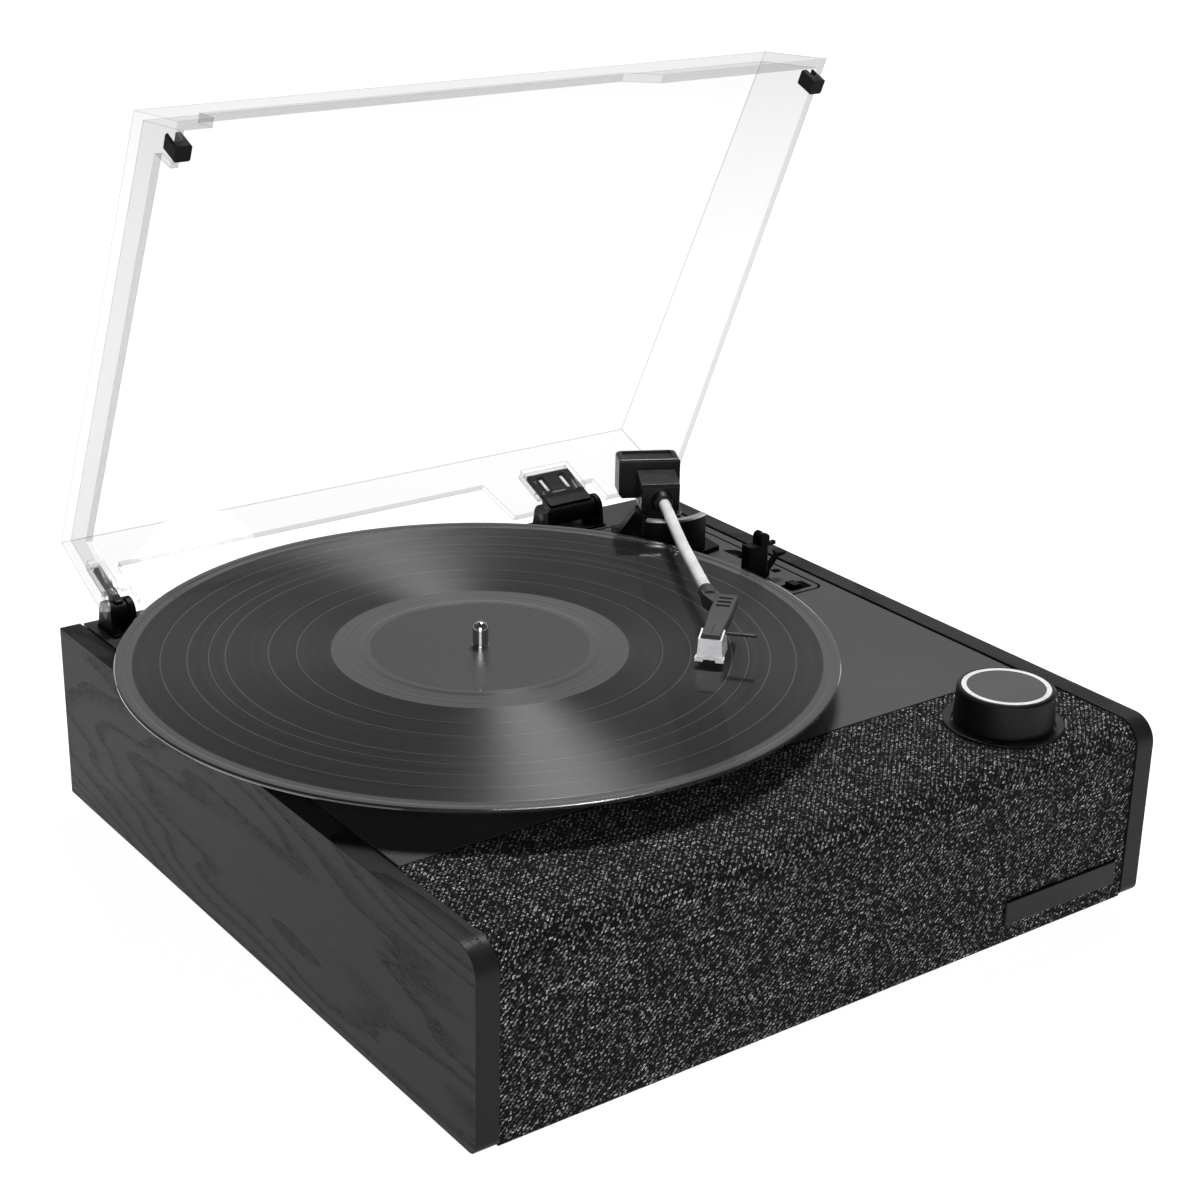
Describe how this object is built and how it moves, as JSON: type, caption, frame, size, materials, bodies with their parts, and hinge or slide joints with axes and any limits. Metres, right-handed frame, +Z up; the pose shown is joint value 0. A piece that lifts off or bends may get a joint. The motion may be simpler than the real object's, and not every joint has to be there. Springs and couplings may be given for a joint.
{
  "type": "turntable record player",
  "caption": "Turntable record player with clear hinged dust cover, tweed grille front, black wood side panels, straight tonearm, control knob and a record on the platter",
  "frame": {"origin": "centre of the cabinet's footprint on the table, at the underside of the feet", "axes": "+X to the right along the front, -Y towards the listener (front), +Z up; the dust cover stands open at rest"},
  "size_m": [0.3571, 0.3546, 0.3249],
  "materials": {
    "wood_black": "satin black-stained ash veneer with open grain",
    "board_grey": "fine textured dark grey paint",
    "board_black": "plain black laminated board",
    "tweed": "salt-and-pepper tweed grille cloth, stretched",
    "satin_plate": "satin grey metal",
    "black_plastic": "fine matt black moulding",
    "gloss_black": "glossy black",
    "headshell_grey": "matt dark grey moulding",
    "white_plastic": "pale glossy moulding",
    "label_paper": "plain dark grey paper label",
    "steel": "plain steel",
    "chrome": "polished",
    "arm_silver": "satin anodised silver",
    "platter_metal": "turned aluminium",
    "hub_plastic": "black moulding",
    "brass_parts": "plain turned brass",
    "rubber_black": "soft black rubber",
    "magnet_iron": "ferrite and iron",
    "cone_paper": "black paper cone",
    "board_green": "green circuit board with parts",
    "clear_lid": "clear polished acrylic"
  },
  "bodies": {
    "cabinet": {"side_panel_left": "wood_black", "side_panel_right": "wood_black", "back_panel": "board_black", "bottom_panel": "board_black", "front_baffle": "board_black", "grille_cloth": "tweed", "badge_plate": "satin_plate", "deck_plate": "board_grey", "mechanism_plate": "board_grey", "plate_screws": "steel", "rubber_feet": "rubber_black", "bottom_screws": "steel", "speaker_baskets": "steel", "speaker_cones": "cone_paper", "speaker_magnets": "magnet_iron", "main_board": "board_green", "control_board": "board_green", "encoder_body": "steel", "knob_bezel": "black_plastic", "jack_plate": "black_plastic", "rca_jacks": "steel", "aux_jack": "black_plastic", "dc_inlet": "steel", "switch_tray": "black_plastic", "motor_can": "steel", "drive_belt": "rubber_black", "platter_bearing": "brass_parts", "arm_base": "black_plastic", "arm_bush": "brass_parts", "arm_rest": "black_plastic", "hinge_bases": "black_plastic", "hinge_pins": "steel"},
    "platter_assembly": {"spindle": "chrome", "sub_platter": "hub_plastic", "platter": "platter_metal", "slip_mat": "rubber_black", "record_disc": "gloss_black", "record_label": "label_paper"},
    "motor_rotor": {"motor_shaft": "steel", "motor_pulley": "brass_parts"},
    "arm_carrier": {"arm_yoke": "steel", "yoke_pin": "steel"},
    "tonearm": {"pivot_block": "gloss_black", "arm_tube": "arm_silver", "counterweight": "gloss_black", "headshell": "headshell_grey", "cartridge": "white_plastic", "stylus": "arm_silver", "finger_lift": "gloss_black"},
    "lift_bar_body": {"lift_bar": "steel"},
    "cue_lever_body": {"cue_lever": "black_plastic"},
    "arm_clip_body": {"arm_clip": "black_plastic"},
    "knob_assembly": {"control_knob": "black_plastic", "knob_shaft": "steel", "knob_ring": "white_plastic"},
    "speed_slide": {"speed_switch": "black_plastic"},
    "autostop_slide": {"autostop_switch": "black_plastic"},
    "lid": {"dust_cover": "clear_lid", "lid_bumpers": "rubber_black", "hinge_arms": "black_plastic"}
  },
  "joints": [
    {"name": "platter_spin", "type": "hinge", "parent": "cabinet", "child": "platter_assembly", "pos_m": [-0.0403, 0.0225, 0.09], "axis": [0, 0, -1], "continuous": true},
    {"name": "motor_spin", "type": "hinge", "parent": "cabinet", "child": "motor_rotor", "pos_m": [-0.09545, 0.07765, 0.085], "axis": [0, 0, -1], "continuous": true},
    {"name": "tonearm_swing", "type": "hinge", "parent": "cabinet", "child": "arm_carrier", "pos_m": [0.12, 0.109, 0.104], "axis": [0, 0, 1], "range_deg": [-14, 29]},
    {"name": "tonearm_lift", "type": "hinge", "parent": "arm_carrier", "child": "tonearm", "pos_m": [0.12, 0.109, 0.108], "axis": [-0.8829, 0.4695, 0], "range_deg": [0, 2.5]},
    {"name": "lift_bar_slide", "type": "slide", "parent": "cabinet", "child": "lift_bar_body", "axis": [0, 0, 1], "range_m": [0, 0.001]},
    {"name": "cue_lever_turn", "type": "hinge", "parent": "cabinet", "child": "cue_lever_body", "pos_m": [0.1292, 0.041, 0.0906], "axis": [1, 0, 0], "range_deg": [0, 60]},
    {"name": "arm_clip_turn", "type": "hinge", "parent": "cabinet", "child": "arm_clip_body", "pos_m": [0.1264, 0.0396, 0.1096], "axis": [0, 1, 0], "range_deg": [-180, 0]},
    {"name": "knob_turn", "type": "hinge", "parent": "cabinet", "child": "knob_assembly", "pos_m": [0.1127, -0.1327, 0.091], "axis": [0, 0, -1], "range_deg": [-135, 135]},
    {"name": "speed_slide_move", "type": "slide", "parent": "cabinet", "child": "speed_slide", "axis": [1, 0, 0], "range_m": [-0.002, 0.0058]},
    {"name": "autostop_slide_move", "type": "slide", "parent": "cabinet", "child": "autostop_slide", "axis": [1, 0, 0], "range_m": [-0.0005, 0.002]},
    {"name": "lid_hinge", "type": "hinge", "parent": "cabinet", "child": "lid", "pos_m": [0, 0.152, 0.094], "axis": [-1, 0, 0], "range_deg": [-66.5, 4]}
  ],
  "couplings": [
    {"joint": "motor_spin", "follows": "platter_spin", "ratio": 10.26},
    {"joint": "cue_lever_turn", "follows": "tonearm_lift", "ratio": 24},
    {"joint": "lift_bar_slide", "follows": "tonearm_lift", "m_per_rad": 0.02291}
  ]
}
